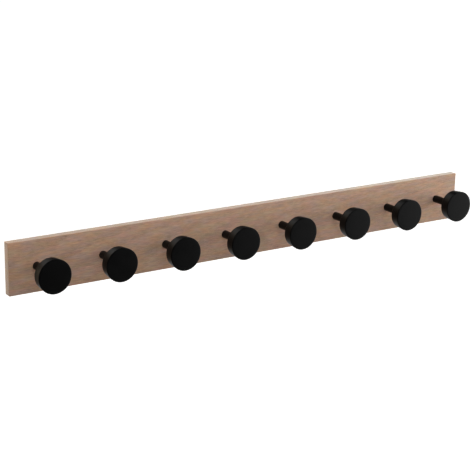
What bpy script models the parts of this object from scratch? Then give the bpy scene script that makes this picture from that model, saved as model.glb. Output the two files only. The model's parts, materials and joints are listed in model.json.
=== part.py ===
"""Wall hook rack: an oak plank with a row of black disc knobs.

Each knob is a turned head on a turned stem. A machine screw, sunk in a counterbore in the
plank's back, holds the stem. Two keyhole plates let into the back hang the rack on wall screws.

The origin is the centre of the plank's back face. +X runs along the plank, +Y points into the
wall and +Z is up, so the knobs stand out along -Y.
"""

import math

import bmesh
import bpy
from mathutils import Matrix

# Plank
PLANK_LENGTH = 0.740
PLANK_HEIGHT = 0.070
PLANK_THICKNESS = 0.012
PLANK_EDGE = 0.0008

# Knobs, spaced evenly between two equal end margins
KNOB_COUNT = 8
END_MARGIN = 0.0385
KNOB_PITCH = (PLANK_LENGTH - 2 * END_MARGIN) / (KNOB_COUNT - 1)

HEAD_FRONT_RADIUS = 0.02275
HEAD_BACK_RADIUS = 0.0215
HEAD_THICKNESS = 0.016
HEAD_FRONT_EDGE = 0.0012
HEAD_BACK_EDGE = 0.0018

STEM_RADIUS = 0.0055
STEM_LENGTH = 0.037
SPIGOT_RADIUS = 0.004
SPIGOT_LENGTH = 0.008
STEM_HOLE_DEPTH = 0.010

# M5 pan-head screw and its washer, in a counterbore
SCREW_RADIUS = 0.0025
SCREW_LENGTH = 0.016
SCREW_HEAD_RADIUS = 0.0047
SCREW_HEAD_HEIGHT = 0.0036
SCREW_RECESS_SPAN = 0.0048
SCREW_RECESS_WIDTH = 0.0011
SCREW_RECESS_DEPTH = 0.0020
WASHER_RADIUS = 0.005
WASHER_THICKNESS = 0.001
COUNTERBORE_RADIUS = 0.006
COUNTERBORE_DEPTH = 0.0058

# Keyhole plates, midway between the two outer knobs at each end
PLATE_WIDTH = 0.016
PLATE_LENGTH = 0.050
PLATE_THICKNESS = 0.0015
KEYHOLE_RADIUS = 0.00475
KEYHOLE_Y = -0.005
SLOT_RADIUS = 0.0025
SLOT_TOP_Y = 0.0085
POCKET_WIDTH = 0.0115
POCKET_LENGTH = 0.025
POCKET_Y = 0.002
POCKET_DEPTH = 0.0081

# Countersunk wood screws that hold the plates, as far above each plate's middle as below it
PLATE_SCREW_OFFSET = 0.0195
PLATE_SCREW_RADIUS = 0.0015
PLATE_SCREW_HEAD_RADIUS = 0.0028
PLATE_SCREW_RIM = 0.0002
PLATE_SCREW_LENGTH = 0.0082
PLATE_SCREW_POINT = 0.0018
PLATE_SCREW_RECESS_SPAN = 0.0032
PLATE_SCREW_RECESS_WIDTH = 0.0008
PLATE_SCREW_RECESS_DEPTH = 0.0012
PILOT_DEPTH = 0.0095

# Clearances: between pieces that touch, and past a face for anything that cuts it
GAP = 0.0003
OVERCUT = 0.002
CHAMFER = 0.0004

# Segments round a full turn
HEAD_SEGMENTS = 32
STEM_SEGMENTS = 18
SCREW_SEGMENTS = 14
WASHER_SEGMENTS = 18
BORE_SEGMENTS = 16
PLATE_SEGMENTS = 12

SHARP_ANGLE = math.radians(35)
MERGE_DISTANCE = 0.00001

# Turns local Z out of the wall and local Y up, with no rounding
OUT_OF_WALL = Matrix(((1, 0, 0, 0), (0, 0, -1, 0), (0, 1, 0, 0), (0, 0, 0, 1)))

# Local Z of every turned or flat piece is its height above the wall
HEAD_BACK_Z = PLANK_THICKNESS + STEM_LENGTH
HEAD_FRONT_Z = HEAD_BACK_Z + HEAD_THICKNESS
WASHER_TOP_Z = COUNTERBORE_DEPTH - GAP
SCREW_SEAT_Z = WASHER_TOP_Z - WASHER_THICKNESS - GAP
PLATE_FACE_Z = GAP
PLATE_BACK_Z = PLATE_FACE_Z + PLATE_THICKNESS
RECESS_DEPTH = PLATE_BACK_Z + GAP
# A 45-degree cone keeps its gap square to its face when its radius grows by this much
CONE_GAP = GAP * math.sqrt(2)


def clear_scene():
    """Start from an empty scene."""
    for obj in list(bpy.data.objects):
        bpy.data.objects.remove(obj, do_unlink=True)


def new_collection(name):
    """Return a new collection linked to the scene."""
    collection = bpy.data.collections.new(name)
    bpy.context.scene.collection.children.link(collection)
    return collection


def new_material(name, color, roughness, metallic):
    """Return a plain Principled material."""
    material = bpy.data.materials.new(name)
    material.use_nodes = True
    shader = material.node_tree.nodes["Principled BSDF"]
    shader.inputs["Base Color"].default_value = (*color, 1.0)
    shader.inputs["Roughness"].default_value = roughness
    shader.inputs["Metallic"].default_value = metallic
    return material


def arc(center, radius, start, end, segments):
    """Return points on an arc from start to end, in degrees, both ends included."""
    points = []
    for i in range(segments + 1):
        angle = math.radians(start + (end - start) * i / segments)
        x = center[0] + radius * math.cos(angle)
        y = center[1] + radius * math.sin(angle)
        points.append((x, y))
    return points


def evaluated_mesh(obj):
    """Return the mesh that an object's modifiers or curve give, and remove the object."""
    bpy.context.view_layer.update()
    depsgraph = bpy.context.evaluated_depsgraph_get()
    mesh = bpy.data.meshes.new_from_object(obj.evaluated_get(depsgraph))
    mesh.name = obj.name
    bpy.data.objects.remove(obj, do_unlink=True)
    return mesh


def temporary_object(name, data):
    """Link an object that is only kept until its mesh is evaluated."""
    obj = bpy.data.objects.new(name, data)
    bpy.context.scene.collection.objects.link(obj)
    return obj


def turned_mesh(name, profile, segments, closed=False):
    """Turn a profile of (radius, height) points, listed down its outer side, about Z."""
    edges = [(i, i + 1) for i in range(len(profile) - 1)]
    if closed:
        edges.append((len(profile) - 1, 0))
    mesh = bpy.data.meshes.new(name)
    mesh.from_pydata([(radius, 0, height) for radius, height in profile], edges, [])
    obj = temporary_object(name, mesh)
    screw = obj.modifiers.new("Turn", "SCREW")
    screw.steps = segments
    screw.render_steps = segments
    screw.use_merge_vertices = True
    screw.merge_threshold = MERGE_DISTANCE
    return evaluated_mesh(obj)


def flat_mesh(name, outlines, low, high):
    """Fill outlines in XY, the inner ones as holes, between two heights."""
    curve = bpy.data.curves.new(name, "CURVE")
    curve.dimensions = "2D"
    curve.fill_mode = "BOTH"
    curve.extrude = (high - low) / 2
    for outline in outlines:
        spline = curve.splines.new("POLY")
        spline.points.add(len(outline) - 1)
        for point, (x, y) in zip(spline.points, outline):
            point.co = (x, y, 0, 1)
        spline.use_cyclic_u = True
    mesh = evaluated_mesh(temporary_object(name, curve))
    bm = bmesh.new()
    bm.from_mesh(mesh)
    bmesh.ops.remove_doubles(bm, verts=bm.verts, dist=MERGE_DISTANCE)
    bmesh.ops.recalc_face_normals(bm, faces=bm.faces)
    bmesh.ops.translate(bm, verts=bm.verts, vec=(0, 0, (low + high) / 2))
    bm.to_mesh(mesh)
    bm.free()
    return mesh


def box_mesh(name, size, center=(0, 0, 0)):
    """Return a box of the given size about a centre."""
    bm = bmesh.new()
    bmesh.ops.create_cube(bm, size=1)
    bmesh.ops.scale(bm, verts=bm.verts, vec=size)
    bmesh.ops.translate(bm, verts=bm.verts, vec=center)
    mesh = bpy.data.meshes.new(name)
    bm.to_mesh(mesh)
    bm.free()
    return mesh


def cut_mesh(mesh, cuts):
    """Return a mesh with each (mesh, Y offset) cutter taken out of it."""
    obj = temporary_object(mesh.name, mesh)
    cutters = []
    for cutter_mesh, y in cuts:
        cutter = temporary_object(cutter_mesh.name, cutter_mesh)
        cutter.location.y = y
        cutters.append(cutter)
        boolean = obj.modifiers.new(cutter.name, "BOOLEAN")
        boolean.operation = "DIFFERENCE"
        boolean.solver = "EXACT"
        boolean.object = cutter
    result = evaluated_mesh(obj)
    for cutter in cutters:
        bpy.data.objects.remove(cutter, do_unlink=True)
    return result


def cross_recess(mesh, span, width, floor_z):
    """Cut a cross-head driver recess, open towards -Z, into a screw's head."""
    height = floor_z + OVERCUT
    center = (0, 0, (floor_z - OVERCUT) / 2)
    bars = [
        box_mesh("recess_bar_x", (span, width, height), center),
        box_mesh("recess_bar_y", (width, span, height), center),
    ]
    return cut_mesh(mesh, [(bar, 0) for bar in bars])


def head_mesh():
    """Knob head: a disc that tapers towards the wall, with a blind socket in its back."""
    front_z = HEAD_FRONT_Z - HEAD_FRONT_EDGE
    back_z = HEAD_BACK_Z + HEAD_BACK_EDGE
    socket_radius = SPIGOT_RADIUS + GAP
    socket_z = HEAD_BACK_Z + SPIGOT_LENGTH
    profile = [(0, HEAD_FRONT_Z)]
    profile += arc((HEAD_FRONT_RADIUS - HEAD_FRONT_EDGE, front_z), HEAD_FRONT_EDGE, 90, 0, 2)
    profile += arc((HEAD_BACK_RADIUS - HEAD_BACK_EDGE, back_z), HEAD_BACK_EDGE, 0, -90, 2)
    profile += [(socket_radius, HEAD_BACK_Z), (socket_radius, socket_z), (0, socket_z)]
    return turned_mesh("knob_head", profile, HEAD_SEGMENTS)


def stem_mesh():
    """Knob stem: a round bar with a spigot for the head and a blind hole for the screw."""
    base_z = PLANK_THICKNESS + GAP
    shoulder_z = HEAD_BACK_Z - GAP
    tip_z = shoulder_z + SPIGOT_LENGTH
    hole_radius = SCREW_RADIUS + GAP
    hole_z = base_z + STEM_HOLE_DEPTH
    profile = [
        (0, tip_z),
        (SPIGOT_RADIUS - CHAMFER, tip_z),
        (SPIGOT_RADIUS, tip_z - CHAMFER),
        (SPIGOT_RADIUS, shoulder_z),
        (STEM_RADIUS, shoulder_z),
        (STEM_RADIUS, base_z),
        (hole_radius, base_z),
        (hole_radius, hole_z),
        (0, hole_z),
    ]
    return turned_mesh("knob_stem", profile, STEM_SEGMENTS)


def washer_mesh():
    """Flat washer between the counterbore's floor and the screw's head."""
    low_z = WASHER_TOP_Z - WASHER_THICKNESS
    hole_radius = SCREW_RADIUS + GAP
    profile = [
        (hole_radius, WASHER_TOP_Z),
        (WASHER_RADIUS, WASHER_TOP_Z),
        (WASHER_RADIUS, low_z),
        (hole_radius, low_z),
    ]
    return turned_mesh("knob_washer", profile, WASHER_SEGMENTS, closed=True)


def screw_mesh():
    """Pan-head machine screw: plain shank, domed head and a cross recess."""
    tip_z = SCREW_SEAT_Z + SCREW_LENGTH
    crown_z = SCREW_SEAT_Z - SCREW_HEAD_HEIGHT
    edge = SCREW_HEAD_HEIGHT / 2
    profile = [
        (0, tip_z),
        (SCREW_RADIUS - CHAMFER, tip_z),
        (SCREW_RADIUS, tip_z - CHAMFER),
        (SCREW_RADIUS, SCREW_SEAT_Z),
        (SCREW_HEAD_RADIUS, SCREW_SEAT_Z),
    ]
    profile += arc((SCREW_HEAD_RADIUS - edge, crown_z + edge), edge, 0, -90, 3)
    profile += [(0, crown_z)]
    mesh = turned_mesh("knob_screw", profile, SCREW_SEGMENTS)
    floor_z = crown_z + SCREW_RECESS_DEPTH
    return cross_recess(mesh, SCREW_RECESS_SPAN, SCREW_RECESS_WIDTH, floor_z)


def plate_screw_mesh():
    """Countersunk wood screw, flush with the keyhole plate's outer face."""
    tip_z = PLATE_FACE_Z + PLATE_SCREW_LENGTH
    rim_z = PLATE_FACE_Z + PLATE_SCREW_RIM
    neck_z = rim_z + PLATE_SCREW_HEAD_RADIUS - PLATE_SCREW_RADIUS
    profile = [
        (0, tip_z),
        (PLATE_SCREW_RADIUS, tip_z - PLATE_SCREW_POINT),
        (PLATE_SCREW_RADIUS, neck_z),
        (PLATE_SCREW_HEAD_RADIUS, rim_z),
        (PLATE_SCREW_HEAD_RADIUS, PLATE_FACE_Z),
        (0, PLATE_FACE_Z),
    ]
    mesh = turned_mesh("hanger_screw", profile, SCREW_SEGMENTS)
    floor_z = PLATE_FACE_Z + PLATE_SCREW_RECESS_DEPTH
    return cross_recess(mesh, PLATE_SCREW_RECESS_SPAN, PLATE_SCREW_RECESS_WIDTH, floor_z)


def stadium(width, length, y=0):
    """Return an upright outline with two round ends, centred at the given Y."""
    radius = width / 2
    reach = length / 2 - radius
    steps = PLATE_SEGMENTS // 2
    top = arc((0, y + reach), radius, 0, 180, steps)
    return top + arc((0, y - reach), radius, 180, 360, steps)


def keyhole():
    """Return the keyhole's outline: a round hole with a narrower slot above it."""
    neck = math.degrees(math.acos(SLOT_RADIUS / KEYHOLE_RADIUS))
    hole = arc((0, KEYHOLE_Y), KEYHOLE_RADIUS, 180 - neck, 360 + neck, PLATE_SEGMENTS)
    return hole + arc((0, SLOT_TOP_Y), SLOT_RADIUS, 0, 180, PLATE_SEGMENTS // 2)


def countersink_mesh():
    """Cutter for a plate's screw hole: a straight hole with a 45-degree countersink."""
    hole_radius = PLATE_SCREW_RADIUS + CONE_GAP
    mouth_radius = PLATE_SCREW_HEAD_RADIUS + CONE_GAP
    mouth_z = PLATE_FACE_Z + PLATE_SCREW_RIM
    neck_z = mouth_z + mouth_radius - hole_radius
    profile = [
        (0, PLATE_BACK_Z + OVERCUT),
        (hole_radius, PLATE_BACK_Z + OVERCUT),
        (hole_radius, neck_z),
        (mouth_radius, mouth_z),
        (mouth_radius, -OVERCUT),
        (0, -OVERCUT),
    ]
    return turned_mesh("countersink", profile, BORE_SEGMENTS)


def plate_mesh():
    """Keyhole plate with a countersunk screw hole at each end."""
    outlines = [stadium(PLATE_WIDTH, PLATE_LENGTH), keyhole()]
    plate = flat_mesh("hanger", outlines, PLATE_FACE_Z, PLATE_BACK_Z)
    countersink = countersink_mesh()
    cuts = [(countersink, PLATE_SCREW_OFFSET), (countersink, -PLATE_SCREW_OFFSET)]
    return cut_mesh(plate, cuts)


def knob_bore_mesh():
    """Cutter for a knob's fixing: a through hole with a counterbore from the back."""
    hole_radius = SCREW_RADIUS + GAP
    front_z = PLANK_THICKNESS + OVERCUT
    profile = [
        (0, front_z),
        (hole_radius, front_z),
        (hole_radius, COUNTERBORE_DEPTH),
        (COUNTERBORE_RADIUS, COUNTERBORE_DEPTH),
        (COUNTERBORE_RADIUS, -OVERCUT),
        (0, -OVERCUT),
    ]
    return turned_mesh("knob_bore", profile, BORE_SEGMENTS)


def pilot_mesh():
    """Cutter for a plate screw's pilot hole."""
    radius = PLATE_SCREW_RADIUS + CONE_GAP
    profile = [(0, PILOT_DEPTH), (radius, PILOT_DEPTH), (radius, -OVERCUT), (0, -OVERCUT)]
    return turned_mesh("pilot", profile, BORE_SEGMENTS)


def recess_mesh():
    """Cutter for the shallow seat that a keyhole plate lies in."""
    outline = stadium(PLATE_WIDTH + 2 * GAP, PLATE_LENGTH + 2 * GAP)
    return flat_mesh("recess", [outline], -OVERCUT, RECESS_DEPTH)


def pocket_mesh():
    """Cutter for the pocket behind a keyhole, where the wall screw's head slides."""
    outline = stadium(POCKET_WIDTH, POCKET_LENGTH, POCKET_Y)
    return flat_mesh("pocket", [outline], -OVERCUT, POCKET_DEPTH)


def shared_mesh(mesh, material=None):
    """Turn a mesh out of the wall and, for a visible piece, finish its surface."""
    mesh.transform(OUT_OF_WALL)
    if material:
        mesh.materials.append(material)
        mesh.shade_smooth()
        mesh.set_sharp_from_angle(angle=SHARP_ANGLE)
    return mesh


def add_station(name, x, collection):
    """Add an empty on the wall plane, the parent of the pieces fixed there."""
    station = bpy.data.objects.new(name, None)
    station.empty_display_size = 0.01
    station.location.x = x
    collection.objects.link(station)
    return station


def add_piece(name, mesh, station, z=0):
    """Add a piece at a station."""
    obj = bpy.data.objects.new(name, mesh)
    obj.parent = station
    obj.location.z = z
    station.users_collection[0].objects.link(obj)


def add_cutter(name, mesh, station, collection, z=0):
    """Add a hidden cutter at a station."""
    cutter = bpy.data.objects.new(name, mesh)
    cutter.parent = station
    cutter.location.z = z
    cutter.hide_render = True
    cutter.display_type = "WIRE"
    collection.objects.link(cutter)


def add_plank(material, collection, cutters):
    """Add the plank, its back face on the wall plane, with everything in cutters taken out."""
    center = (0, -PLANK_THICKNESS / 2, 0)
    mesh = box_mesh("board", (PLANK_LENGTH, PLANK_THICKNESS, PLANK_HEIGHT), center)
    mesh.materials.append(material)
    plank = bpy.data.objects.new("board", mesh)
    collection.objects.link(plank)
    bevel = plank.modifiers.new("Eased edges", "BEVEL")
    bevel.width = PLANK_EDGE
    bevel.segments = 2
    boolean = plank.modifiers.new("Bores and recesses", "BOOLEAN")
    boolean.operation = "DIFFERENCE"
    boolean.solver = "EXACT"
    boolean.operand_type = "COLLECTION"
    boolean.collection = cutters


def add_knobs(stations, coat, plating, cutters):
    """Add a head, stem, washer and screw at each station, and the bore that they need."""
    head = shared_mesh(head_mesh(), coat)
    stem = shared_mesh(stem_mesh(), coat)
    washer = shared_mesh(washer_mesh(), plating)
    screw = shared_mesh(screw_mesh(), plating)
    bore = shared_mesh(knob_bore_mesh())
    for number, station in enumerate(stations, start=1):
        add_piece(f"knob_head_{number}", head, station)
        add_piece(f"knob_stem_{number}", stem, station)
        add_piece(f"knob_washer_{number}", washer, station)
        add_piece(f"knob_screw_{number}", screw, station)
        add_cutter(f"bore_{number}", bore, station, cutters)


def add_hangers(stations, plating, cutters):
    """Add a keyhole plate with its two screws at each station, and the seat they need."""
    plate = shared_mesh(plate_mesh(), plating)
    screw = shared_mesh(plate_screw_mesh(), plating)
    recess = shared_mesh(recess_mesh())
    pocket = shared_mesh(pocket_mesh())
    pilot = shared_mesh(pilot_mesh())
    screw_number = 0
    for side, station in stations.items():
        add_piece(f"hanger_{side}", plate, station)
        for z in (PLATE_SCREW_OFFSET, -PLATE_SCREW_OFFSET):
            screw_number += 1
            add_piece(f"hanger_screw_{screw_number}", screw, station, z)
            add_cutter(f"pilot_{screw_number}", pilot, station, cutters, z)
        add_cutter(f"recess_{side}", recess, station, cutters)
        add_cutter(f"pocket_{side}", pocket, station, cutters)


def main():
    clear_scene()
    rack = new_collection("wall_hook_rack")
    cutters = new_collection("cutters")

    oak = new_material("oak", (0.33, 0.22, 0.16), roughness=0.65, metallic=0.0)
    coat = new_material("black_coat", (0.012, 0.012, 0.012), roughness=0.4, metallic=0.0)
    plating = new_material("zinc_plating", (0.62, 0.63, 0.65), roughness=0.35, metallic=1.0)

    first_x = END_MARGIN - PLANK_LENGTH / 2
    knob_stations = []
    for number in range(KNOB_COUNT):
        x = first_x + number * KNOB_PITCH
        knob_stations.append(add_station(f"knob_{number + 1}", x, rack))

    hanger_x = -first_x - KNOB_PITCH / 2
    hanger_stations = {
        "left": add_station("hanger_station_left", -hanger_x, rack),
        "right": add_station("hanger_station_right", hanger_x, rack),
    }

    add_plank(oak, rack, cutters)
    add_knobs(knob_stations, coat, plating, cutters)
    add_hangers(hanger_stations, plating, cutters)


main()
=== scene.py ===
"""Looks of a wall hook rack: an oak board, eight black disc knobs and the hardware behind them.

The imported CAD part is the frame. Each piece below is a finer mesh that stands for one CAD node,
and its place and its overall size come from that node's box.

Turned and flat pieces are drawn with local Z as their height above the wall and local Y up.
Lengths are in metres.
"""

import json
import math

import bmesh
import bpy
from mathutils import Matrix, Vector

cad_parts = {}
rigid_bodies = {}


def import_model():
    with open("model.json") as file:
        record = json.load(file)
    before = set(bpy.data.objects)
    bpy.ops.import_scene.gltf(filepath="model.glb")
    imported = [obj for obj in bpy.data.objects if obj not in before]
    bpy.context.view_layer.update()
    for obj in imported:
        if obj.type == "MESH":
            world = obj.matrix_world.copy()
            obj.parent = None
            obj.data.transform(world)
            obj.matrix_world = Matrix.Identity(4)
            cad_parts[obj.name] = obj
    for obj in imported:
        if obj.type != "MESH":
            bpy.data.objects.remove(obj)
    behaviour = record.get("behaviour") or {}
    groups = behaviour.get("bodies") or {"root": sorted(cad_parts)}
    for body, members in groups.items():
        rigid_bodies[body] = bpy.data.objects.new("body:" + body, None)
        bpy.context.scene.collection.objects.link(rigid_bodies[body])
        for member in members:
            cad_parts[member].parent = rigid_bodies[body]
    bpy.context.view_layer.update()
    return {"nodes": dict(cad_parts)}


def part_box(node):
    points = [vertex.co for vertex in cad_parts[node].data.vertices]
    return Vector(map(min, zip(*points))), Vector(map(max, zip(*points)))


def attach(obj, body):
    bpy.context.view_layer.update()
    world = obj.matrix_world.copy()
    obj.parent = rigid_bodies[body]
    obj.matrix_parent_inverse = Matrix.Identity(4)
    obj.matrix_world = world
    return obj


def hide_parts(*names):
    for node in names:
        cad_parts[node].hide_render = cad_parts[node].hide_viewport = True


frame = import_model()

BODY = "root"

# Camera: it looks at a point near the board's middle
CAMERA_AIM = Vector((-0.0229, 0.0, -0.0080))
CAMERA_DISTANCE = 1.9866
CAMERA_AZIMUTH = math.radians(33.614)
CAMERA_ELEVATION = math.radians(16.473)
CAMERA_ROLL = math.radians(1.075)
CAMERA_LENS = 109.56

# Floor
FLOOR_DROP = 1.2
FLOOR_SIZE = 80.0
FLOOR_GREY = (0.86, 0.86, 0.86, 1.0)
FLOOR_GLOW = 0.55

# World light: even all round, with a warm glow from the rear left. Every SPREAD is the part of
# a direction over which a glow fades in
WHITE = (1.0, 1.0, 1.0, 1.0)
AMBIENT = 0.196
SIDE_AXIS = (-0.8, 0.6, 0.0)
SIDE_SPREAD = (0.5, 0.95)
SIDE_GLOW = 0.80
SIDE_COLOR = (1.0, 0.85, 0.64, 1.0)

# The dim room that glossy surfaces reflect: a bright panel at the right, a pale wall low behind
# the rack, and a pale patch high behind it
PANEL_SPREAD = (0.53, 0.92)
PANEL_GLOW = 3.4
WALL_SPREAD = (0.1, 0.6)
WALL_TOP = (0.05, -0.25)
WALL_GLOW = 0.9
PATCH_AXIS = (-0.35, 0.85, 0.38)
PATCH_SPREAD = (0.72, 1.0)
PATCH_GLOW = 1.8

# Lights and display
FILL_ANGLE = math.radians(30)
DISPLAY_GAMMA = 0.88

# Board
BOARD_EDGE = 0.0008
BORE_RADIUS = 0.0028
COUNTERBORE_RADIUS = 0.006
COUNTERBORE_CLEARANCE = 0.0003
SEAT_CLEARANCE = 0.0003
POCKET_WIDTH = 0.0115
POCKET_LENGTH = 0.025
POCKET_OFFSET = 0.002
POCKET_DEPTH = 0.0081
PILOT_RADIUS = 0.0017
PILOT_DEPTH = 0.0095

# Knobs
HEAD_TAPER = 0.00125
HEAD_CROWN = 0.00015
HEAD_FRONT_EDGE = 0.0007
HEAD_BACK_EDGE = 0.0018
HEAD_FACE_RINGS = 7
HEAD_BACK_RING = 0.008
STEM_BASE_EDGE = 0.0004
STEM_TOP_RING = 0.001
SPIGOT_RADIUS = 0.004
SPIGOT_LENGTH = 0.008
SPIGOT_CLEARANCE = 0.0002
SPIGOT_CHAMFER = 0.0004
TAPPED_HOLE_DEPTH = 0.0105

# M5 pan-head screws, their washers, and the wood screws of the plates
SHANK_RADIUS = 0.0025
SHANK_TIP_CHAMFER = 0.0007
SHANK_POINT = 0.0005
THREAD_DEPTH = 0.00045
THREAD_PITCH = 0.0008
THREAD_ROWS = 6
THREAD_SLOPE = 2.6
PAN_HEIGHT = 0.0036
PAN_RIM = 0.0002
PAN_RECESS = {"span": 0.0048, "width": 0.0012, "depth": 0.0021}
WASHER_EDGE = 0.0002
WOOD_SHANK_RADIUS = 0.0015
WOOD_SHANK_POINT = 0.0002
WOOD_THREAD_START = 0.0003
WOOD_THREAD_DEPTH = 0.0004
WOOD_THREAD_PITCH = 0.0011
WOOD_POINT = 0.0026
WOOD_POINT_SHARE = 0.12
WOOD_HEAD_RIM = 0.0002
WOOD_HEAD_CHAMFER = 0.0001
WOOD_RECESS = {"span": 0.0032, "width": 0.0008, "depth": 0.0012}
RECESS_END_TAPER = 0.55
RECESS_SIDE_TAPER = 0.8

# Keyhole plates
PLATE_EDGE = 0.0002
KEYHOLE_RADIUS = 0.00475
KEYHOLE_Y = -0.005
SLOT_RADIUS = 0.0025
SLOT_TOP_Y = 0.0085

# Segments round a full turn
HEAD_SEGMENTS = 128
STEM_SEGMENTS = 64
BORE_SEGMENTS = 48
SCREW_SEGMENTS = 36

# Mesh making
OVERCUT = 0.002
SHARP_ANGLE = math.radians(32)
BEVEL_ANGLE = math.radians(60)
FLAT_ANGLE = math.radians(1)
PLATE_EDGE_SEGMENTS = 3
BOARD_EDGE_SEGMENTS = 4
MERGE_DISTANCE = 0.000005

# Turns local X, Y, Z into the rack's X, Z and -Y
OUT_OF_WALL = Matrix(((1, 0, 0, 0), (0, 0, -1, 0), (0, 1, 0, 0), (0, 0, 0, 1)))


# ---------------------------------------------------------------- mesh helpers


def arc(center, radius, start, end, segments):
    """Return points on an arc from start to end, in degrees, both ends included."""
    points = []
    for i in range(segments + 1):
        angle = math.radians(start + (end - start) * i / segments)
        x = center[0] + radius * math.cos(angle)
        y = center[1] + radius * math.sin(angle)
        points.append((x, y))
    return points


def link(name, data):
    """Return a new object linked to the scene."""
    obj = bpy.data.objects.new(name, data)
    bpy.context.scene.collection.objects.link(obj)
    return obj


def evaluated_mesh(obj):
    """Return the mesh that an object's modifiers or curve give, and remove the object."""
    bpy.context.view_layer.update()
    depsgraph = bpy.context.evaluated_depsgraph_get()
    mesh = bpy.data.meshes.new_from_object(obj.evaluated_get(depsgraph))
    mesh.name = obj.name
    bpy.data.objects.remove(obj, do_unlink=True)
    return mesh


def turned_mesh(name, profile, segments, closed=False):
    """Turn a profile of (radius, height) points, listed down its outer side, about Z."""
    edges = [(i, i + 1) for i in range(len(profile) - 1)]
    if closed:
        edges.append((len(profile) - 1, 0))
    mesh = bpy.data.meshes.new(name)
    mesh.from_pydata([(radius, 0, height) for radius, height in profile], edges, [])
    obj = link(name, mesh)
    screw = obj.modifiers.new("Turn", "SCREW")
    screw.steps = segments
    screw.render_steps = segments
    screw.use_merge_vertices = True
    screw.merge_threshold = MERGE_DISTANCE
    return evaluated_mesh(obj)


def flat_mesh(name, outlines, low, high, edge=0.0):
    """Fill outlines in XY, the inner ones as holes, between two heights, and round the edges."""
    curve = bpy.data.curves.new(name, "CURVE")
    curve.dimensions = "2D"
    curve.fill_mode = "BOTH"
    curve.extrude = (high - low) / 2
    for outline in outlines:
        spline = curve.splines.new("POLY")
        spline.points.add(len(outline) - 1)
        for point, (x, y) in zip(spline.points, outline):
            point.co = (x, y, 0, 1)
        spline.use_cyclic_u = True
    mesh = evaluated_mesh(link(name, curve))
    bm = bmesh.new()
    bm.from_mesh(mesh)
    bmesh.ops.remove_doubles(bm, verts=bm.verts, dist=MERGE_DISTANCE)
    bmesh.ops.dissolve_limit(bm, angle_limit=FLAT_ANGLE, verts=bm.verts, edges=bm.edges)
    bmesh.ops.recalc_face_normals(bm, faces=bm.faces)
    bmesh.ops.translate(bm, verts=bm.verts, vec=(0, 0, (low + high) / 2))
    bm.to_mesh(mesh)
    bm.free()
    if edge:
        obj = link(name, mesh)
        add_bevel(obj, edge, PLATE_EDGE_SEGMENTS)
        mesh = evaluated_mesh(obj)
    return mesh


def box_mesh(name, size, center):
    """Return a box of the given size about a centre."""
    bm = bmesh.new()
    bmesh.ops.create_cube(bm, size=1)
    bmesh.ops.scale(bm, verts=bm.verts, vec=size)
    bmesh.ops.translate(bm, verts=bm.verts, vec=center)
    mesh = bpy.data.meshes.new(name)
    bm.to_mesh(mesh)
    bm.free()
    return mesh


def add_bevel(obj, width, segments):
    """Round an object's sharp edges."""
    bevel = obj.modifiers.new("Eased edges", "BEVEL")
    bevel.width = width
    bevel.segments = segments
    bevel.limit_method = "ANGLE"
    bevel.angle_limit = BEVEL_ANGLE


def cut_mesh(mesh, cutter_meshes, edge=0.0):
    """Ease a mesh's edges if asked, and take every cutter out of it in one Boolean."""
    cutters = bpy.data.collections.new(mesh.name + "_cutters")
    bpy.context.scene.collection.children.link(cutters)
    for cutter_mesh in cutter_meshes:
        cutters.objects.link(bpy.data.objects.new(cutter_mesh.name, cutter_mesh))
    obj = link(mesh.name, mesh)
    if edge:
        add_bevel(obj, edge, BOARD_EDGE_SEGMENTS)
    boolean = obj.modifiers.new("Cuts", "BOOLEAN")
    boolean.operation = "DIFFERENCE"
    boolean.solver = "EXACT"
    boolean.operand_type = "COLLECTION"
    boolean.collection = cutters
    result = evaluated_mesh(obj)
    for cutter in list(cutters.objects):
        bpy.data.objects.remove(cutter, do_unlink=True)
    bpy.data.collections.remove(cutters)
    return result


def moved(mesh, place):
    """Return a copy of a local mesh, turned out of the wall and moved to its place."""
    copy = mesh.copy()
    copy.transform(Matrix.Translation((place.x, 0, place.z)) @ OUT_OF_WALL)
    return copy


def cross_recess(mesh, mouth_z, span, width, depth):
    """Cut a tapered cross-head driver recess, open towards -Z, into a screw's head."""
    bars = []
    for across, up, across_taper, up_taper in (
        (span, width, RECESS_END_TAPER, RECESS_SIDE_TAPER),
        (width, span, RECESS_SIDE_TAPER, RECESS_END_TAPER),
    ):
        size = (across, up, depth + OVERCUT)
        bar = box_mesh("recess_bar", size, (0, 0, mouth_z + (depth - OVERCUT) / 2))
        for vertex in bar.vertices:
            if vertex.co.z > mouth_z:
                vertex.co.x *= across_taper
                vertex.co.y *= up_taper
        bars.append(bar)
    return cut_mesh(mesh, bars)


def cut_thread(mesh, low_z, high_z, crest, depth, pitch):
    """Press a helical V thread into the plain shank between two heights."""
    for vertex in mesh.vertices:
        radius = math.hypot(vertex.co.x, vertex.co.y)
        if not low_z < vertex.co.z < high_z or radius < crest / 2:
            continue
        turn = math.atan2(vertex.co.y, vertex.co.x) / (2 * math.pi)
        phase = (vertex.co.z / pitch - turn) % 1.0
        groove = 1 - min(1.0, abs(phase - 0.5) * THREAD_SLOPE)
        vertex.co.x *= 1 - groove * depth / crest
        vertex.co.y *= 1 - groove * depth / crest


# ---------------------------------------------------------------- places


class Place:
    """A turned or flat node's axis, radius and heights above the wall, read from its box."""

    def __init__(self, node):
        low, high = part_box(node)
        self.node = node
        self.x = (low.x + high.x) / 2
        self.z = (low.z + high.z) / 2
        self.radius = (high.x - low.x) / 2
        self.length = high.z - low.z
        self.near = -high.y
        self.far = -low.y


def places(stem):
    """Return the places of every node whose name is a stem and a number."""
    names = [name for name in frame["nodes"] if name.startswith(stem + "_")]
    return [Place(name) for name in sorted(names)]


# ---------------------------------------------------------------- pieces


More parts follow.
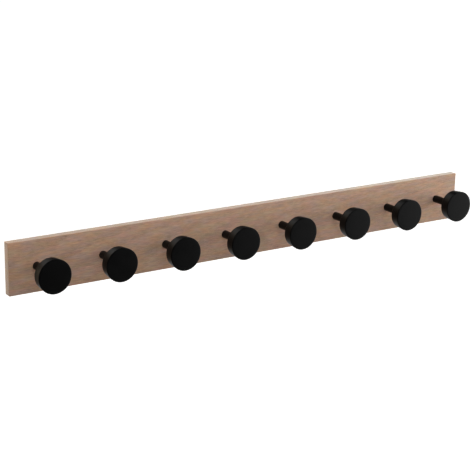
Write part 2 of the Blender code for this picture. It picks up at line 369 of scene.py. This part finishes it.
def add_piece(name, mesh, material, node):
    """Add a finished piece that stands for a CAD node, give it the material passed in, and hide
    the node.
    """
    mesh.materials.clear()
    mesh.materials.append(material)
    mesh.shade_smooth()
    mesh.set_sharp_from_angle(angle=SHARP_ANGLE)
    piece = link(name, mesh)
    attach(piece, BODY)
    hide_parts(node)
    return piece


def label_of(place):
    """Return the number or the side at the end of a node's name."""
    return place.node.rsplit("_", 1)[1]


def head_mesh(place):
    """Knob head: a disc that tapers towards the wall, with eased rims and a blind socket."""
    front_radius = place.radius
    back_radius = place.radius - HEAD_TAPER
    flat_radius = front_radius - HEAD_FRONT_EDGE
    profile = []
    for i in range(HEAD_FACE_RINGS):
        share = i / HEAD_FACE_RINGS
        profile.append((flat_radius * share, place.far - HEAD_CROWN * share ** 2))
    rim_z = place.far - HEAD_CROWN - HEAD_FRONT_EDGE
    profile += arc((flat_radius, rim_z), HEAD_FRONT_EDGE, 90, 0, 8)
    back_edge = (back_radius - HEAD_BACK_EDGE, place.near + HEAD_BACK_EDGE)
    profile += arc(back_edge, HEAD_BACK_EDGE, 0, -90, 8)
    socket_floor = place.near + SPIGOT_LENGTH
    profile += [(HEAD_BACK_RING, place.near), (SPIGOT_RADIUS, place.near)]
    profile += [(SPIGOT_RADIUS, socket_floor), (0, socket_floor)]
    return turned_mesh("disc_head", profile, HEAD_SEGMENTS)


def stem_mesh(place, base, shoulder):
    """Knob stem: a round bar from the board to the head, with a spigot and a tapped hole."""
    tip = place.far
    spigot = SPIGOT_RADIUS - SPIGOT_CLEARANCE
    base_edge = (place.radius - STEM_BASE_EDGE, base + STEM_BASE_EDGE)
    profile = [
        (0, tip),
        (spigot - SPIGOT_CHAMFER, tip),
        (spigot, tip - SPIGOT_CHAMFER),
        (spigot, shoulder),
        (place.radius, shoulder),
        (place.radius, shoulder - STEM_TOP_RING),
    ]
    profile += arc(base_edge, STEM_BASE_EDGE, 0, -90, 4)
    profile += [
        (BORE_RADIUS, base),
        (BORE_RADIUS, base + TAPPED_HOLE_DEPTH),
        (0, base + TAPPED_HOLE_DEPTH),
    ]
    return turned_mesh("round_stem", profile, STEM_SEGMENTS)


def washer_mesh(place):
    """Stamped flat washer with its outer and inner edges rolled over."""
    outer = place.radius - WASHER_EDGE
    inner = BORE_RADIUS + WASHER_EDGE
    near = place.near + WASHER_EDGE
    far = place.far - WASHER_EDGE
    profile = arc((outer, far), WASHER_EDGE, 90, 0, 3)
    profile += arc((outer, near), WASHER_EDGE, 0, -90, 3)
    profile += arc((inner, near), WASHER_EDGE, 270, 180, 3)
    profile += arc((inner, far), WASHER_EDGE, 180, 90, 3)
    return turned_mesh("flat_washer", profile, STEM_SEGMENTS, closed=True)


def shank(tip_z, seat_z, radius, point, pitch):
    """Return a shank's profile from its tip down to the head, with rows for its thread."""
    length = tip_z - point - seat_z
    rows = round(length / (pitch / THREAD_ROWS))
    profile = [(0, tip_z), (radius - SHANK_TIP_CHAMFER, tip_z)]
    for i in range(rows + 1):
        profile.append((radius, tip_z - point - length * i / rows))
    return profile


def pan_screw_mesh(place):
    """M5 pan-head machine screw with a rolled thread, a domed head and a cross recess."""
    seat = place.near + PAN_HEIGHT
    dome = PAN_HEIGHT / 2
    profile = shank(place.far, seat, SHANK_RADIUS, SHANK_POINT, THREAD_PITCH)
    profile += [(place.radius - PAN_RIM, seat), (place.radius, seat - PAN_RIM)]
    profile += arc((place.radius - dome, place.near + dome), dome, 0, -90, 8)
    profile += [(0, place.near)]
    mesh = turned_mesh("pan_screw", profile, SCREW_SEGMENTS)
    start = seat + THREAD_PITCH
    cut_thread(mesh, start, place.far, SHANK_RADIUS, THREAD_DEPTH, THREAD_PITCH)
    return cross_recess(mesh, place.near, **PAN_RECESS)


def wood_screw_mesh(place):
    """Countersunk wood screw with a coarse thread, a tapered point and a cross recess."""
    rim = place.near + WOOD_HEAD_RIM
    neck = rim + place.radius - WOOD_SHANK_RADIUS
    profile = shank(place.far, neck, WOOD_SHANK_RADIUS, WOOD_SHANK_POINT, WOOD_THREAD_PITCH)
    profile += [(place.radius, rim), (place.radius, place.near + WOOD_HEAD_CHAMFER)]
    profile += [(place.radius - WOOD_HEAD_CHAMFER, place.near), (0, place.near)]
    mesh = turned_mesh("wood_screw", profile, SCREW_SEGMENTS)
    start = neck + WOOD_THREAD_START
    cut_thread(mesh, start, place.far, WOOD_SHANK_RADIUS, WOOD_THREAD_DEPTH, WOOD_THREAD_PITCH)
    for vertex in mesh.vertices:
        from_tip = (place.far - vertex.co.z) / WOOD_POINT
        if from_tip < 1:
            taper = WOOD_POINT_SHARE + (1 - WOOD_POINT_SHARE) * from_tip
            vertex.co.x *= taper
            vertex.co.y *= taper
    return cross_recess(mesh, place.near, **WOOD_RECESS)


def stadium(width, length, y=0.0):
    """Return an upright outline with two round ends, centred at the given Y."""
    radius = width / 2
    reach = length / 2 - radius
    half = BORE_SEGMENTS // 2
    top = arc((0, y + reach), radius, 0, 180, half)
    return top + arc((0, y - reach), radius, 180, 360, half)


def keyhole():
    """Return the keyhole's outline: a round hole with a narrower slot above it."""
    neck = math.degrees(math.acos(SLOT_RADIUS / KEYHOLE_RADIUS))
    hole = arc((0, KEYHOLE_Y), KEYHOLE_RADIUS, 180 - neck, 360 + neck, BORE_SEGMENTS)
    return hole + arc((0, SLOT_TOP_Y), SLOT_RADIUS, 0, 180, BORE_SEGMENTS // 2)


def countersink_mesh(plate, screw):
    """Cutter for a plate's screw hole: a straight hole with a 45-degree countersink."""
    mouth = screw.radius + SEAT_CLEARANCE / 2
    profile = [
        (0, plate.far + OVERCUT),
        (PILOT_RADIUS, plate.far + OVERCUT),
        (PILOT_RADIUS, plate.near + mouth - PILOT_RADIUS),
        (mouth, plate.near),
        (mouth, plate.near - OVERCUT),
        (0, plate.near - OVERCUT),
    ]
    return turned_mesh("countersink", profile, BORE_SEGMENTS)


def plate_mesh(plate, screws):
    """Stamped keyhole plate with a countersunk screw hole at each end."""
    outlines = [stadium(2 * plate.radius, plate.length), keyhole()]
    mesh = flat_mesh("keyhole_plate", outlines, plate.near, plate.far, PLATE_EDGE)
    cutters = []
    for screw in screws:
        cutter = countersink_mesh(plate, screw)
        cutter.transform(Matrix.Translation((0, screw.z - plate.z, 0)))
        cutters.append(cutter)
    return cut_mesh(mesh, cutters)


def knob_bore_mesh(thickness, floor):
    """Cutter for a knob's fixing: a through hole with a counterbore from the back."""
    profile = [
        (0, thickness + OVERCUT),
        (BORE_RADIUS, thickness + OVERCUT),
        (BORE_RADIUS, floor),
        (COUNTERBORE_RADIUS, floor),
        (COUNTERBORE_RADIUS, -OVERCUT),
        (0, -OVERCUT),
    ]
    return turned_mesh("knob_bore", profile, BORE_SEGMENTS)


def pilot_mesh():
    """Cutter for a wood screw's pilot hole."""
    profile = [(0, PILOT_DEPTH), (PILOT_RADIUS, PILOT_DEPTH)]
    profile += [(PILOT_RADIUS, -OVERCUT), (0, -OVERCUT)]
    return turned_mesh("pilot", profile, BORE_SEGMENTS)


def board_mesh(washers, plates, plate_screws):
    """The plank with eased arrises, its knob bores, and the seats of the keyhole plates."""
    low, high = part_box("board")
    block = box_mesh("board", high - low, (low + high) / 2)
    thickness = high.y - low.y
    bore = knob_bore_mesh(thickness, washers[0].far + COUNTERBORE_CLEARANCE)
    cutters = [moved(bore, washer) for washer in washers]
    for plate in plates:
        seat = stadium(2 * (plate.radius + SEAT_CLEARANCE), plate.length + 2 * SEAT_CLEARANCE)
        recess = flat_mesh("recess", [seat], -OVERCUT, plate.far + SEAT_CLEARANCE)
        slot = stadium(POCKET_WIDTH, POCKET_LENGTH, POCKET_OFFSET)
        pocket = flat_mesh("pocket", [slot], -OVERCUT, POCKET_DEPTH)
        cutters += [moved(recess, plate), moved(pocket, plate)]
    pilot = pilot_mesh()
    cutters += [moved(pilot, screw) for screw in plate_screws]
    return cut_mesh(block, cutters, BOARD_EDGE)


# ---------------------------------------------------------------- material helpers


def add_node(tree, kind, inputs=None, **settings):
    """Add a shader node, set its properties, and fill its inputs with values or links."""
    node = tree.nodes.new("ShaderNode" + kind)
    for name, value in settings.items():
        setattr(node, name, value)
    for key, value in (inputs or {}).items():
        socket = node.inputs[key]
        if isinstance(value, bpy.types.NodeSocket):
            tree.links.new(value, socket)
        else:
            socket.default_value = value
    return node


def math_node(tree, operation, *values):
    """Return the output of a Math node."""
    return add_node(tree, "Math", dict(enumerate(values)), operation=operation).outputs[0]


def vector_node(tree, operation, *values, output="Vector", **inputs):
    """Return an output of a Vector Math node."""
    inputs = {**dict(enumerate(values)), **inputs}
    return add_node(tree, "VectorMath", inputs, operation=operation).outputs[output]


def noise_node(tree, coords, stretch, detail=2.0, roughness=0.5, distortion=0.0):
    """Return a noise node, with its frequencies along X, Y and Z per metre."""
    inputs = {
        "Vector": vector_node(tree, "MULTIPLY", coords, stretch),
        "Scale": 1.0,
        "Detail": detail,
        "Roughness": roughness,
        "Distortion": distortion,
    }
    return add_node(tree, "TexNoise", inputs)


def noise(tree, coords, stretch, **settings):
    """Return a noise pattern of 0 to 1."""
    return noise_node(tree, coords, stretch, **settings).outputs["Fac"]


def ramp(tree, factor, low, high, to_low=0.0, to_high=1.0):
    """Return a smooth step that takes low..high to to_low..to_high."""
    inputs = {"Value": factor, 1: low, 2: high, 3: to_low, 4: to_high}
    return add_node(tree, "MapRange", inputs, interpolation_type="SMOOTHSTEP").outputs[0]


def mix_color(tree, factor, first, second, blend="MIX"):
    """Return a colour mixed from two colours."""
    inputs = {0: factor, 6: first, 7: second}
    return add_node(tree, "Mix", inputs, data_type="RGBA", blend_type=blend).outputs[2]


def add_tone(tree, tone, pattern, amount):
    """Return a brightness raised and lowered by a pattern about its middle of 0.5."""
    shift = math_node(tree, "SUBTRACT", pattern, 0.5)
    return math_node(tree, "MULTIPLY_ADD", shift, amount, tone)


def new_material(name):
    """Return a material, its node tree, its Principled shader and the object coordinates."""
    material = bpy.data.materials.new(name)
    material.use_nodes = True
    tree = material.node_tree
    coords = add_node(tree, "TexCoord").outputs["Object"]
    return material, tree, tree.nodes["Principled BSDF"], coords


def set_bump(tree, shader, height, distance, strength=1.0):
    """Drive a shader's normal with a bump whose full height is a distance in metres."""
    bump = add_node(tree, "Bump", {"Height": height, "Distance": distance, "Strength": strength})
    tree.links.new(bump.outputs[0], shader.inputs["Normal"])


# ---------------------------------------------------------------- materials

# Oak: its two washed tones, the two tints over them, and its dark pores
GREY_TAN = (0.372, 0.259, 0.190, 1.0)
PINK_TAN = (0.412, 0.251, 0.174, 1.0)
GOLD_TINT = (1.01, 1.015, 0.93, 1.0)
BLUE_TINT = (0.99, 0.985, 1.07, 1.0)
PORE_BROWN = (0.19, 0.120, 0.085, 1.0)
PATCH_EDGES = (0.38, 0.62)
PORE_EDGES = (0.56, 0.66)
OAK_SHEEN_TINT = (0.86, 1.0, 1.0, 1.0)
GRAIN_RELIEF = 0.00012

# The log: ring width, the pith's Y and Z, its slopes along the board, and how far the rings wander
RING_WIDTH = 0.0042
PITH = (0.115, -0.012)
PITH_SLOPE = (0.055, 0.030)
RING_WANDER = 0.012

# Black coat and zinc plating: their darkest and lightest tones, and the depth of their relief
COAT_TONES = ((0.0008, 0.0008, 0.0009, 1.0), (0.0018, 0.0018, 0.0018, 1.0))
COAT_RELIEF = 0.00003
ZINC_TONES = ((0.56, 0.58, 0.62, 1.0), (0.70, 0.69, 0.66, 1.0))
SCRATCH_EDGES = (0.63, 0.70)
ZINC_RELIEF = 0.00002


def growth_rings(tree, coords):
    """Return the ring phase, 0 to 1, of a solid cut from a log whose pith runs near the board."""
    bend = noise_node(tree, coords, (3.0, 14.0, 14.0)).outputs["Color"]
    centred = vector_node(tree, "SUBTRACT", bend, (0.5, 0.5, 0.5))
    shift = vector_node(tree, "SCALE", centred, Scale=RING_WANDER)
    wandering = vector_node(tree, "ADD", coords, shift)
    axes = add_node(tree, "SeparateXYZ", {0: wandering}).outputs
    across = math_node(tree, "MULTIPLY_ADD", axes["X"], PITH_SLOPE[0], axes["Y"])
    up = math_node(tree, "MULTIPLY_ADD", axes["X"], PITH_SLOPE[1], axes["Z"])
    from_pith = add_node(tree, "CombineXYZ", {
        "X": math_node(tree, "SUBTRACT", across, PITH[0]),
        "Y": math_node(tree, "SUBTRACT", up, PITH[1]),
    })
    radius = vector_node(tree, "LENGTH", from_pith.outputs[0], output="Value")
    return math_node(tree, "FRACT", math_node(tree, "DIVIDE", radius, RING_WIDTH))


def oak_material():
    """Washed oak: rings, streaks, fibre, pores and patches of tint, all solid in the plank."""
    material, tree, shader, coords = new_material("washed_oak")
    phase = growth_rings(tree, coords)
    opening, closing = ramp(tree, phase, 0.0, 0.12), ramp(tree, phase, 0.85, 0.2)
    early = math_node(tree, "MULTIPLY", opening, closing)
    patches = noise(tree, coords, (40.0, 170.0, 170.0), detail=4.0, roughness=0.6)
    stain_stretch = (36.0, 150.0, 155.0)
    stain = noise(tree, coords, stain_stretch, detail=4.0, roughness=0.6, distortion=0.3)
    broad = noise(tree, coords, (4.0, 20.0, 34.0), detail=2.0)
    streaks = noise(tree, coords, (110.0, 560.0, 560.0), detail=4.0, roughness=0.7)
    fibre = noise(tree, coords, (60.0, 1500.0, 1500.0), detail=3.0, roughness=0.65)
    pore_field = noise(tree, coords, (150.0, 3600.0, 3600.0), detail=1.0)
    pores = math_node(tree, "MULTIPLY", ramp(tree, pore_field, *PORE_EDGES), early)

    tone = add_tone(tree, 1.0, broad, 0.06)
    tone = add_tone(tree, tone, streaks, 0.62)
    tone = add_tone(tree, tone, fibre, 1.1)
    tone = math_node(tree, "MULTIPLY_ADD", early, -0.04, tone)
    base = mix_color(tree, ramp(tree, patches, *PATCH_EDGES), GREY_TAN, PINK_TAN)
    tint = mix_color(tree, ramp(tree, stain, *PATCH_EDGES), GOLD_TINT, BLUE_TINT)
    base = mix_color(tree, 1.0, base, tint, "MULTIPLY")
    toned = vector_node(tree, "SCALE", base, Scale=tone)
    color = mix_color(tree, math_node(tree, "MULTIPLY", pores, 0.6), toned, PORE_BROWN)
    tree.links.new(color, shader.inputs["Base Color"])

    rough = add_tone(tree, 0.60, fibre, 0.18)
    rough = math_node(tree, "MULTIPLY_ADD", pores, 0.15, rough)
    tree.links.new(rough, shader.inputs["Roughness"])
    shader.inputs["IOR"].default_value = 1.48
    shader.inputs["Specular IOR Level"].default_value = 0.25
    shader.inputs["Sheen Weight"].default_value = 0.5
    shader.inputs["Sheen Tint"].default_value = OAK_SHEEN_TINT
    shader.inputs["Sheen Roughness"].default_value = 0.45
    height = math_node(tree, "SUBTRACT", math_node(tree, "MULTIPLY", fibre, 0.5), pores)
    set_bump(tree, shader, height, GRAIN_RELIEF, 0.6)
    return material


def coat_material():
    """Satin black powder coat with a faint orange peel and uneven gloss."""
    material, tree, shader, coords = new_material("black_coat")
    peel = noise(tree, coords, (520.0, 520.0, 520.0), detail=2.0)
    grit = noise(tree, coords, (4200.0, 4200.0, 4200.0), detail=2.0, roughness=0.6)
    cloud = noise(tree, coords, (60.0, 60.0, 60.0), detail=3.0)
    color = mix_color(tree, cloud, *COAT_TONES)
    tree.links.new(color, shader.inputs["Base Color"])
    rough = add_tone(tree, 0.40, cloud, 0.14)
    rough = add_tone(tree, rough, grit, 0.10)
    tree.links.new(rough, shader.inputs["Roughness"])
    shader.inputs["IOR"].default_value = 1.45
    shader.inputs["Specular IOR Level"].default_value = 0.2
    height = math_node(tree, "MULTIPLY_ADD", grit, 0.25, peel)
    set_bump(tree, shader, height, COAT_RELIEF, 0.5)
    return material


def zinc_material():
    """Bright zinc plating: cloudy passivation, fine brushing and small scratches."""
    material, tree, shader, coords = new_material("zinc_plating")
    cloud = noise(tree, coords, (170.0, 170.0, 170.0), detail=4.0)
    brush = noise(tree, coords, (2600.0, 2600.0, 260.0), detail=2.0)
    scratch = noise(tree, coords, (900.0, 5200.0, 400.0), detail=2.0, distortion=0.4)
    marks = ramp(tree, scratch, *SCRATCH_EDGES)
    color = mix_color(tree, cloud, *ZINC_TONES)
    tree.links.new(color, shader.inputs["Base Color"])
    shader.inputs["Metallic"].default_value = 1.0
    rough = add_tone(tree, 0.34, cloud, 0.22)
    rough = math_node(tree, "MULTIPLY_ADD", marks, 0.12, add_tone(tree, rough, brush, 0.10))
    tree.links.new(rough, shader.inputs["Roughness"])
    height = math_node(tree, "MULTIPLY_ADD", marks, -0.6, brush)
    set_bump(tree, shader, height, ZINC_RELIEF, 0.5)
    return material


# ---------------------------------------------------------------- camera and studio


def add_camera():
    """Look at the rack from its left, a little above it."""
    data = bpy.data.cameras.new("camera")
    data.lens = CAMERA_LENS
    camera = link("camera", data)
    turn = Matrix.Rotation(-CAMERA_AZIMUTH, 4, "Z")
    tilt = Matrix.Rotation(math.pi / 2 - CAMERA_ELEVATION, 4, "X")
    roll = Matrix.Rotation(CAMERA_ROLL, 4, "Z")
    rotation = turn @ tilt @ roll
    back = rotation.col[2].to_3d()
    camera.matrix_world = Matrix.Translation(CAMERA_AIM + CAMERA_DISTANCE * back) @ rotation
    bpy.context.scene.camera = camera


def add_floor():
    """A plain pale floor, well below the rack."""
    bm = bmesh.new()
    bmesh.ops.create_grid(bm, x_segments=8, y_segments=8, size=FLOOR_SIZE / 2)
    mesh = bpy.data.meshes.new("floor")
    bm.to_mesh(mesh)
    bm.free()
    floor = link("floor", mesh)
    floor.location.z = -FLOOR_DROP
    floor.visible_glossy = False
    floor.visible_diffuse = False
    material = bpy.data.materials.new("pale_floor")
    material.use_nodes = True
    shader = material.node_tree.nodes["Principled BSDF"]
    shader.inputs["Base Color"].default_value = FLOOR_GREY
    shader.inputs["Roughness"].default_value = 0.9
    shader.inputs["Emission Color"].default_value = WHITE
    shader.inputs["Emission Strength"].default_value = FLOOR_GLOW
    mesh.materials.append(material)


def add_world():
    """Even soft light with a warm glow from one side, and a dim room for gloss to reflect."""
    world = bpy.data.worlds.new("studio")
    world.use_nodes = True
    bpy.context.scene.world = world
    tree = world.node_tree
    rays = add_node(tree, "LightPath").outputs
    direction = add_node(tree, "TexCoord").outputs["Generated"]
    axes = add_node(tree, "SeparateXYZ", {0: direction}).outputs
    to_side = vector_node(tree, "DOT_PRODUCT", direction, SIDE_AXIS, output="Value")
    to_patch = vector_node(tree, "DOT_PRODUCT", direction, PATCH_AXIS, output="Value")

    side_share = ramp(tree, to_side, *SIDE_SPREAD)
    ambient = math_node(tree, "MULTIPLY_ADD", side_share, SIDE_GLOW, AMBIENT)
    panel = ramp(tree, axes["X"], *PANEL_SPREAD, 0.0, PANEL_GLOW)
    wall = ramp(tree, axes["Y"], *WALL_SPREAD, 0.0, WALL_GLOW)
    wall = math_node(tree, "MULTIPLY", wall, ramp(tree, axes["Z"], *WALL_TOP))
    patch = ramp(tree, to_patch, *PATCH_SPREAD, 0.0, PATCH_GLOW)
    room = math_node(tree, "MAXIMUM", math_node(tree, "MAXIMUM", panel, wall), patch)

    # Glossy rays see the room, camera rays see plain white, and all others see the soft light
    light = add_node(tree, "Mix", {0: rays["Is Glossy Ray"], 2: ambient, 3: room}).outputs[0]
    strength = math_node(tree, "MAXIMUM", light, rays["Is Camera Ray"])
    unseen = math_node(tree, "SUBTRACT", 1.0, rays["Is Camera Ray"])
    color = mix_color(tree, math_node(tree, "MULTIPLY", side_share, unseen), WHITE, SIDE_COLOR)
    background = tree.nodes["Background"]
    tree.links.new(color, background.inputs["Color"])
    tree.links.new(strength, background.inputs["Strength"])


def add_softbox(name, location, size, power, color):
    """Add a square soft light that faces the rack's middle."""
    data = bpy.data.lights.new(name, "AREA")
    data.size = size
    data.energy = power
    data.color = color
    light = link(name, data)
    light.location = location
    light.rotation_euler = (-light.location).to_track_quat("-Z", "Y").to_euler()
    light.visible_glossy = False


def add_fill(name, direction, power, color):
    """Add a broad fill light from far away that casts no shadow, so the shade stays faint."""
    data = bpy.data.lights.new(name, "SUN")
    data.energy = power
    data.color = color
    data.angle = FILL_ANGLE
    data.use_shadow = False
    light = link(name, data)
    light.rotation_euler = Vector(direction).to_track_quat("Z", "Y").to_euler()
    light.visible_glossy = False


def add_lights():
    """A soft light at the right, a cool one overhead, and a fill in front and behind."""
    add_softbox("right", (1.8, -1.1, 0.3), 1.2, 25.0, WHITE[:3])
    add_softbox("overhead", (0.1, -0.5, 1.7), 2.0, 30.0, (0.93, 1.0, 1.03))
    add_fill("front_fill", (-0.45, -0.75, 0.5), 1.45, WHITE[:3])
    add_fill("back_fill", (-0.3, 0.93, 0.2), 1.6, (1.0, 0.97, 0.92))


# ---------------------------------------------------------------- the rack


def add_turned(stem, name, mesh, material):
    """Add a copy of a mesh at every node whose name starts with a stem."""
    for place in places(stem):
        piece = f"{name}_{label_of(place)}"
        add_piece(piece, moved(mesh, place), material, place.node)


def main():
    heads = places("knob_head")
    stems = places("knob_stem")
    washers = places("knob_washer")
    screws = places("knob_screw")
    plates = [Place("hanger_left"), Place("hanger_right")]
    plate_screws = places("hanger_screw")

    add_camera()
    add_floor()
    add_world()
    add_lights()
    bpy.context.scene.view_settings.view_transform = "Standard"
    bpy.context.scene.view_settings.gamma = DISPLAY_GAMMA

    oak = oak_material()
    coat = coat_material()
    zinc = zinc_material()

    add_piece("oak_board", board_mesh(washers, plates, plate_screws), oak, "board")
    add_turned("knob_head", "disc_head", head_mesh(heads[0]), coat)
    stem = stem_mesh(stems[0], -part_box("board")[0].y, heads[0].near)
    add_turned("knob_stem", "round_stem", stem, coat)
    add_turned("knob_washer", "flat_washer", washer_mesh(washers[0]), zinc)
    add_turned("knob_screw", "pan_screw", pan_screw_mesh(screws[0]), zinc)
    wood_screw = wood_screw_mesh(plate_screws[0])
    add_turned("hanger_screw", "wood_screw", wood_screw, zinc)
    for plate in plates:
        own = [screw for screw in plate_screws if abs(screw.x - plate.x) < plate.radius]
        mesh = moved(plate_mesh(plate, own), plate)
        add_piece(f"keyhole_plate_{label_of(plate)}", mesh, zinc, plate.node)


main()
